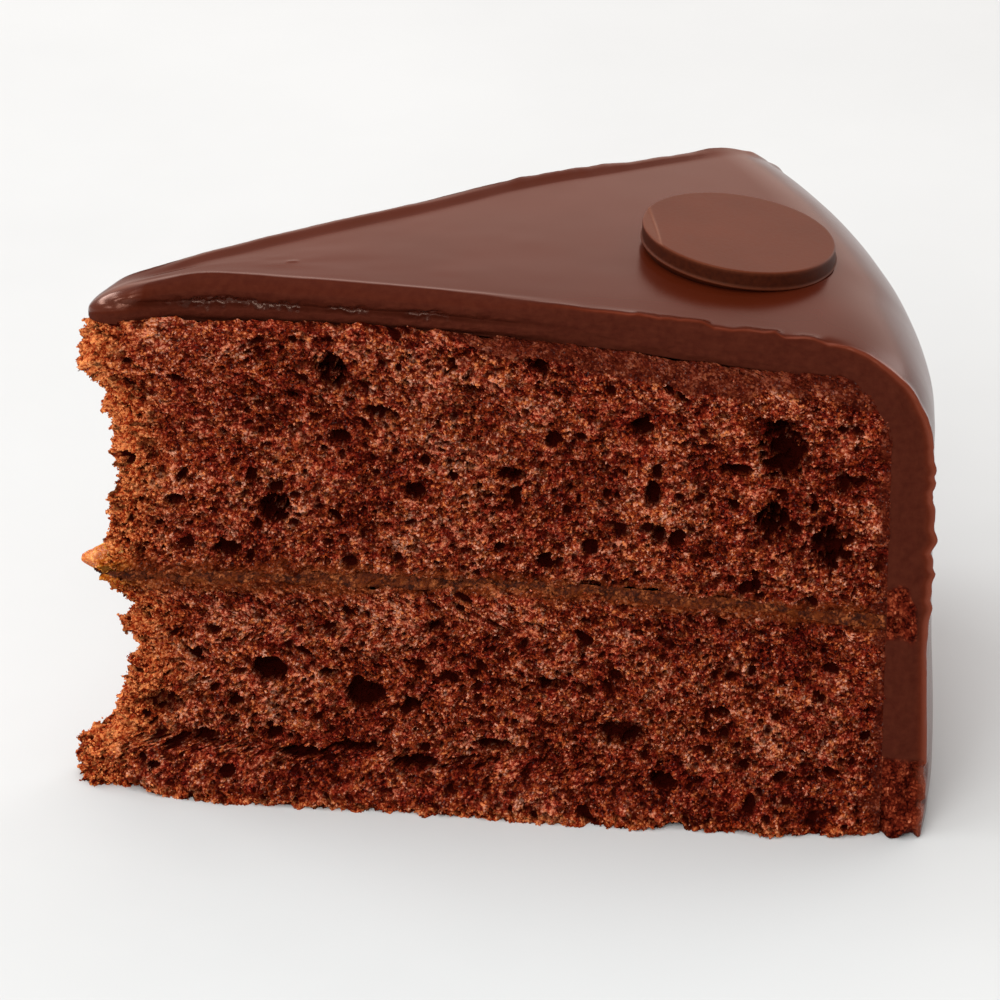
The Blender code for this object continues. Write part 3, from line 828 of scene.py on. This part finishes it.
def plain_disc(material):
    cx, cy = DISC_AT
    mid = float(top_height(hypot(cx, cy))) + DISC_LIFT + DISC_T
    radius = DISC_D / 2.0
    rings = disc_rings()
    angle = np.arange(DISC_SIDES) * 2.0 * pi / DISC_SIDES
    points, flaw, side = [(cx, cy, mid)], [[0.0]], [[0.0]]
    for share, down in rings:
        dx, dy = radius * share * np.cos(angle), radius * share * np.sin(angle)
        x, y = cx + dx * cos(DISC_TILT), cy + dy
        face = mid - dx * sin(DISC_TILT)
        base = top_height(np.hypot(x, y)) + 0.02
        if down is None:
            z, shade, mark = base - 0.05, 1.0, 0.0 * angle
        else:
            # painted shade: the side is darker than the face and than the thin flange round its foot,
            # which keeps a painted highlight
            shade = smooth(0.1, 0.3, down) - 0.6 * smooth(2.05, 2.15, down)
            height, mark = disc_flaw(dx / radius, dy / radius, down)
            z = np.maximum(face - down, base + 0.15 * np.maximum(0.0, 2.6 - down)) + height
        side.append(np.full(DISC_SIDES, shade))
        flaw.append(mark)
        points += list(zip(x, y, z))
    # a fan in the middle of the face, then the rings as a tube that is closed below
    fan = [(0, 1 + n, 1 + (n + 1) % DISC_SIDES) for n in range(DISC_SIDES)]
    tube = tube_faces(len(rings), DISC_SIDES)
    tube.pop(-2)
    points = np.array(points)
    uv = (points[:, :2] - (cx, cy)) / DISC_D + 0.5
    make_piece("plain_disc", points, fan + [[1 + n for n in face] for face in tube], uv,
               {"side": np.concatenate(side), "flaw": np.concatenate(flaw)},
               material, "disc", "chocolate_disc")


# Materials

class Shader:
    """A Principled material and short ways to add nodes to it."""

    def __init__(self, name, **values):
        self.material = bpy.data.materials.new(name)
        self.material.use_nodes = True
        self.tree = self.material.node_tree
        self.bsdf = self.tree.nodes["Principled BSDF"]
        for key, value in values.items():
            self.bsdf.inputs[key.replace("_", " ")].default_value = value

    def plug(self, socket, value):
        """Link another node's output to a socket, or set the socket's value."""
        if isinstance(value, bpy.types.NodeSocket):
            self.tree.links.new(value, socket)
        else:
            socket.default_value = value

    def node(self, kind, **inputs):
        made = self.tree.nodes.new(kind)
        for key, value in inputs.items():
            self.plug(made.inputs[key.replace("_", " ")], value)
        return made

    def value(self, attribute):
        made = self.node("ShaderNodeAttribute")
        made.attribute_name = attribute
        return made.outputs["Fac"]

    def place(self):
        return self.node("ShaderNodeTexCoord").outputs["Object"]

    def noise(self, scale, detail=3.0, roughness=0.55):
        return self.node("ShaderNodeTexNoise", Vector=self.place(), Scale=scale, Detail=detail,
                         Roughness=roughness).outputs["Fac"]

    def math(self, operation, a, b):
        made = self.node("ShaderNodeMath")
        made.operation = operation
        self.plug(made.inputs[0], a)
        self.plug(made.inputs[1], b)
        return made.outputs[0]

    def times(self, a, b):
        return self.math("MULTIPLY", a, b)

    def ramp(self, factor, *stops):
        """Each stop is a position, red, green and blue."""
        made = self.node("ShaderNodeValToRGB", Fac=factor)
        elements = made.color_ramp.elements
        while len(elements) < len(stops):
            elements.new(0.5)
        for element, (position, *colour) in zip(elements, stops):
            element.position = position
            element.color = (*colour, 1.0)
        return made.outputs["Color"]

    def mask(self, factor, start, end, low=0.0, high=1.0):
        """Grey from low to high while the factor goes from start to end."""
        return self.ramp(factor, (start, low, low, low), (end, high, high, high))

    def mix(self, factor, a, b):
        made = self.node("ShaderNodeMix")
        made.data_type = "RGBA"
        for wanted, value in ((("Factor", "VALUE"), factor), (("A", "RGBA"), a), (("B", "RGBA"), b)):
            socket = next(s for s in made.inputs if (s.name, s.type) == wanted)
            self.plug(socket, (*value, 1.0) if isinstance(value, tuple) else value)
        return next(s for s in made.outputs if s.type == "RGBA")

    def sum(self, offset, *terms):
        """The offset plus every socket times its weight."""
        total = offset
        for socket, weight in terms:
            total = self.math("ADD", total, self.times(socket, weight))
        return total

    def cells(self, scale):
        """A random red and green value for each small cell, and the distance in it."""
        made = self.node("ShaderNodeTexVoronoi", Vector=self.place(), Scale=scale)
        split = self.node("ShaderNodeSeparateColor", Color=made.outputs["Color"])
        return split.outputs["Red"], split.outputs["Green"], made.outputs["Distance"]

    def link(self, socket, name):
        self.tree.links.new(socket, self.bsdf.inputs[name])

    def colour(self, socket):
        self.link(socket, "Base Color")

    def bump(self, height, strength, distance):
        made = self.node("ShaderNodeBump", Height=height, Strength=strength, Distance=distance)
        self.link(made.outputs["Normal"], "Normal")


def crumb_material():
    s = Shader("chocolate_crumb", Roughness=0.6, Specular_IOR_Level=0.1,
               Specular_Tint=(1.0, 0.82, 0.72, 1.0))
    pick, hue, inside = s.cells(3100.0)
    fine, coarse, patch = s.noise(4500.0, 2.0, 0.6), s.noise(1000.0, 2.0, 0.6), s.noise(150.0, 2.0)
    clump = s.noise(420.0, 2.0)
    # the tone adds random noise to the attribute that carries painted shade in the valleys of the
    # crumb's relief
    tone = s.sum(-0.765, (s.value("tone_and_shade"), 0.62), (pick, 0.49), (fine, 0.52), (coarse, 0.7),
                 (patch, 0.16), (clump, 0.42), (inside, -0.25))
    # each crumb is orange, pink or red, from dark to pale with the tone; the palest pink is a painted
    # highlight for small glints
    orange = s.ramp(tone, (0.12, 0.016, 0.001, 0.0005), (0.42, 0.13, 0.009, 0.002),
                    (0.68, 0.32, 0.048, 0.01), (0.94, 0.72, 0.21, 0.066))
    pink_and_glint = s.ramp(tone, (0.12, 0.018, 0.001, 0.001), (0.42, 0.11, 0.01, 0.005),
                  (0.68, 0.275, 0.044, 0.015), (0.94, 0.74, 0.34, 0.23))
    red = s.ramp(tone, (0.12, 0.02, 0.001, 0.001), (0.42, 0.13, 0.006, 0.003),
                 (0.68, 0.33, 0.036, 0.014), (0.92, 0.66, 0.19, 0.1))
    tint = s.mask(s.sum(0.0, (hue, 0.5), (patch, 0.2), (coarse, 0.3)), 0.42, 0.66)
    colour = s.mix(tint, orange, pink_and_glint)
    colour = s.mix(s.mask(s.noise(560.0, 2.0), 0.47, 0.62, 0.0, 0.85), colour, red)
    # painted light: thin torn edges are paler, as light shining through them; jam and glaze soak into
    # the crumb beside them
    thin_glow = s.ramp(tone, (0.14, 0.07, 0.004, 0.001), (0.45, 0.42, 0.04, 0.007),
                  (0.88, 1.0, 0.34, 0.1))
    colour = s.mix(s.times(s.value("thin_glow"), 0.8), colour, thin_glow)
    jammy = s.ramp(tone, (0.1, 0.064, 0.008, 0.001), (0.6, 0.145, 0.024, 0.005),
                   (0.95, 0.3, 0.078, 0.022))
    colour = s.mix(s.value("jammy"), colour, jammy)
    amber = s.ramp(tone, (0.1, 0.3, 0.032, 0.002), (0.45, 0.74, 0.17, 0.01),
                   (0.85, 1.0, 0.45, 0.07))
    colour = s.mix(s.value("amber"), colour, amber)
    # painted shade in the pits, holes and crevices, and in flat gaps between the crumbs that are
    # finer than the mesh
    flat = s.node("ShaderNodeMapping", Vector=s.place(), Scale=(0.62, 0.62, 1.2)).outputs["Vector"]
    shaded_gaps = s.node("ShaderNodeTexNoise", Vector=flat, Scale=950.0, Detail=2.0).outputs["Fac"]
    shaded_gaps = s.mask(shaded_gaps, 0.36, 0.44, 0.8, 0.0)
    colour = s.mix(s.math("MAXIMUM", s.value("pit_shade"), shaded_gaps), colour, (0.024, 0.002, 0.001))
    soaked_tone = s.ramp(tone, (0.2, 0.036, 0.004, 0.002), (0.6, 0.076, 0.01, 0.004),
                         (0.95, 0.16, 0.03, 0.013))
    s.colour(s.mix(s.times(s.value("soak"), 0.9), colour, soaked_tone))
    glint = s.mask(s.noise(3100.0, 1.0), 0.61, 0.75, 0.02, 0.9)
    s.link(s.sum(0.62, (glint, -0.36)), "Roughness")
    bare = s.sum(1.0, (s.value("pit_shade"), -1.0), (s.value("soak"), -0.3), (shaded_gaps, -1.2))
    s.link(s.times(glint, s.math("MAXIMUM", bare, 0.0)), "Specular IOR Level")
    bumps = s.sum(0.0, (fine, 1.0), (coarse, 1.0), (inside, -1.0))
    dry = s.sum(1.0, (s.value("soak"), -0.7), (s.value("jammy"), -0.4))
    s.bump(s.times(bumps, dry), 0.9, 0.00018)
    return s.material


def jam_material():
    s = Shader("apricot_jam", Roughness=0.4, Specular_IOR_Level=0.06)
    pick, _, inside = s.cells(2600.0)
    fine, coarse = s.noise(3600.0, 2.0, 0.6), s.noise(700.0, 2.0)
    tone = s.sum(-0.3, (pick, 0.35), (fine, 0.55), (coarse, 0.75), (inside, -0.2))
    crumby = s.ramp(tone, (0.25, 0.026, 0.004, 0.001), (0.5, 0.115, 0.02, 0.004),
                    (0.8, 0.42, 0.12, 0.035))
    wet = s.ramp(tone, (0.25, 0.06, 0.008, 0.001), (0.6, 0.15, 0.027, 0.004),
                 (0.9, 0.29, 0.075, 0.015))
    s.colour(s.mix(s.value("wet"), crumby, wet))
    s.bump(s.sum(0.0, (fine, 1.0), (inside, -0.6)), 0.8, 0.00018)
    return s.material


def amber_material():
    s = Shader("amber_jam", Roughness=0.25, Specular_IOR_Level=0.5, Subsurface_Weight=0.6,
               Subsurface_Scale=0.002, Subsurface_Radius=(1.0, 0.4, 0.1))
    tone = s.sum(0.0, (s.noise(500.0, 2.0), 0.5), (s.noise(2400.0, 2.0), 0.5))
    s.colour(s.ramp(tone, (0.35, 0.3, 0.045, 0.004), (0.5, 0.62, 0.17, 0.02),
                    (0.65, 0.85, 0.4, 0.1)))
    s.bump(s.noise(2400.0, 2.0), 0.9, 0.0003)
    return s.material


def glaze_material():
    s = Shader("chocolate_glaze", Specular_IOR_Level=0.55)
    tear, edge = s.value("tear"), s.value("edge")
    broad, cut_tone = s.noise(60.0, 2.0), s.noise(1100.0, 3.0)
    top = s.ramp(broad, (0.3, 0.064, 0.0088, 0.0024), (0.7, 0.076, 0.0108, 0.0038))
    cut = s.ramp(cut_tone, (0.3, 0.054, 0.01, 0.0055), (0.7, 0.07, 0.0145, 0.0075))
    colour = s.mix(s.value("dull"), top, cut)
    # painted shade in the groove and its wet hollows
    colour = s.mix(s.value("shaded_groove"), colour, (0.038, 0.0056, 0.0024))
    # where the rim is torn, it looks like crumb
    pick, _, inside = s.cells(3000.0)
    grain = s.noise(4500.0, 2.0, 0.6)
    crumbs = s.sum(-0.42, (pick, 0.42), (grain, 0.45), (s.noise(600.0, 2.0), 0.95), (inside, -0.2))
    chipped = s.ramp(crumbs, (0.16, 0.02, 0.0015, 0.001), (0.45, 0.105, 0.01, 0.004),
                     (0.7, 0.27, 0.048, 0.018), (0.92, 0.6, 0.19, 0.095))
    colour = s.mix(s.value("rough"), colour, chipped)
    # painted light: a paler red along the crisp edge
    s.colour(s.mix(edge, colour, (0.14, 0.021, 0.007)))
    dull = s.sum(0.0, (s.value("dull"), 1.0), (tear, -1.0), (edge, -1.0))
    dull = s.math("MAXIMUM", dull, 0.0)
    level = s.sum(0.0, (s.value("polish"), 0.55), (dull, -0.52), (tear, 0.14))
    s.link(s.math("MAXIMUM", level, 0.02), "Specular IOR Level")
    s.link(s.mix(tear, (1.0, 0.44, 0.31), (1.0, 0.72, 0.58)), "Specular Tint")
    s.link(s.sum(0.2, (dull, 0.24), (s.noise(200.0, 2.0), 0.06), (tear, -0.1)), "Roughness")
    rough = s.times(s.sum(0.0, (grain, 2.0), (inside, -1.0)), s.value("rough"))
    s.bump(s.math("ADD", s.times(cut_tone, s.value("cut")), rough), 0.4, 0.0003)
    return s.material


def disc_material():
    s = Shader("plain_chocolate", Specular_IOR_Level=0.24, Specular_Tint=(1.0, 0.55, 0.36, 1.0))
    broad, fine = s.noise(90.0, 3.0), s.noise(1800.0, 2.0)
    tone = s.math("ADD", s.times(broad, 0.7), s.times(fine, 0.3))
    face = s.ramp(tone, (0.35, 0.089, 0.0165, 0.0056), (0.65, 0.113, 0.022, 0.0082))
    # painted shade on the side, with less of it on the flange as a painted highlight
    side = s.ramp(fine, (0.3, 0.034, 0.005, 0.002), (0.7, 0.054, 0.009, 0.003))
    colour = s.mix(s.value("side"), face, side)
    s.colour(s.mix(s.value("flaw"), colour, (0.2, 0.075, 0.045)))
    s.link(s.sum(0.36, (fine, 0.12), (s.value("side"), 0.2)), "Roughness")
    s.bump(fine, 0.12, 0.0001)
    return s.material


def floor_material():
    s = Shader("pale_stone", Roughness=0.45, Specular_IOR_Level=0.04)
    veins = s.noise(7.0, 5.0, 0.6)
    s.colour(s.ramp(veins, (0.35, 0.672, 0.684, 0.686), (0.6, 0.706, 0.718, 0.72)))
    return s.material


# Floor, light and camera

FLOOR_HALF = 3.0  # metres, as the lamps below
WORLD_COLOUR, WORLD_STRENGTH = (1.0, 0.99, 0.97, 1.0), 0.53
WHITE = (1.0, 1.0, 1.0)

# Soft lamps: name, place, aim, width and height, power, colour
LAMPS = (
    ("key", (-0.45, -0.75, 0.75), (0.0, 0.0, 0.03), (0.6, 0.6), 5.3, (0.985, 0.99, 0.975)),
    ("top", (-0.1, 0.1, 1.0), (0.0, 0.0, 0.05), (0.7, 0.6), 3.2, (0.97, 0.985, 1.0)),
    ("back", (0.45, 1.35, 0.58), (0.2, 0.0, 0.25), (2.2, 1.1), 5.0, (1.0, 0.62, 0.47)),
    ("left", (-1.0, -0.35, 0.45), (-0.05, 0.0, 0.05), (0.16, 0.35), 1.0, WHITE),
    ("streak", (-0.86, 0.55, 0.74), (-0.05, 0.0, 0.06), (0.95, 0.22), 4.8, WHITE),
    ("glint", (-0.46, -0.88, 0.34), (-0.03, 0.0, 0.05), (0.13, 0.1), 1.0, WHITE),
    ("side", (1.1, 0.55, 0.5), (0.05, 0.0, 0.03), (0.9, 0.8), 4.0, WHITE)
)

ELEVATION, AZIMUTH = radians(27.0), radians(-11.7)
DISTANCE = 1.0
FOCAL = 7.84  # image widths at unit distance, from the fitted view
SENSOR = 36.0
SHIFT_ACROSS, SHIFT_UP = -1.0, 2.4  # millimetres
TARGET_HEIGHT = 30.0


def stage():
    half = FLOOR_HALF
    mesh = bpy.data.meshes.new("floor")
    mesh.from_pydata([(-half, -half, 0), (half, -half, 0), (half, half, 0), (-half, half, 0)],
                     [], [(0, 1, 2, 3)])
    mesh.materials.append(floor_material())
    floor = add_object("floor", mesh)

    world = bpy.data.worlds.new("studio")
    world.use_nodes = True
    background = world.node_tree.nodes["Background"]
    background.inputs["Color"].default_value = WORLD_COLOUR
    background.inputs["Strength"].default_value = WORLD_STRENGTH
    bpy.context.scene.world = world


def soft_light(name, place, aim, size, power, colour):
    data = bpy.data.lights.new(name, "AREA")
    data.shape = "RECTANGLE"
    data.size, data.size_y = size
    data.energy = power
    data.color = colour
    light = add_object(name, data)
    light.location = place
    light.rotation_euler = (Vector(aim) - Vector(place)).to_track_quat("-Z", "Y").to_euler()


def camera():
    """The photograph's view: from above, a little to the left, with a long lens."""
    level = cos(ELEVATION)
    forward = Vector((-sin(AZIMUTH) * level, cos(AZIMUTH) * level, -sin(ELEVATION)))
    right = Vector((cos(AZIMUTH), sin(AZIMUTH), 0.0))
    up = right.cross(forward)
    target = Vector(((RADIUS / 2.0 + MIDDLE[0]) * MM, MIDDLE[1] * MM, TARGET_HEIGHT * MM))
    shift = right * SHIFT_ACROSS * MM + up * SHIFT_UP * MM
    data = bpy.data.cameras.new("camera")
    data.sensor_width = SENSOR
    data.lens = SENSOR * FOCAL
    data.clip_end = 20.0
    cam = add_object("camera", data)
    cam.location = target + shift - forward * DISTANCE
    cam.rotation_euler = forward.to_track_quat("-Z", "Y").to_euler()
    bpy.context.scene.camera = cam


bpy.context.scene.view_settings.view_transform = "Standard"
camera()
stage()
for lamp in LAMPS:
    soft_light(*lamp)

crumb = crumb_material()
shoulder_at = RADIUS - GLAZE - GAP - (SHOULDER - GLAZE)
upper_cuts = sponge_layer("crumb_upper", "sponge_upper", lambda r: jam_height(r) + 0.5 * JAM - BITE,
                          lambda r: top_height(np.minimum(r, shoulder_at), GLAZE - 0.9 + hem_drop(r)),
                          UPPER_ROWS, UPPER_SEED, crumb)
lower_cuts = sponge_layer("crumb_lower", "sponge_lower", lambda r: 0.0 * r,
                          lambda r: jam_height(r) - 0.5 * JAM + BITE, LOWER_ROWS, LOWER_SEED, crumb)
crumb_under(crumb)
loose_grains((upper_cuts, lower_cuts), crumb)
jam_point(amber_material())
jam_line(jam_material())
glaze_coat(glaze_material())
plain_disc(disc_material())
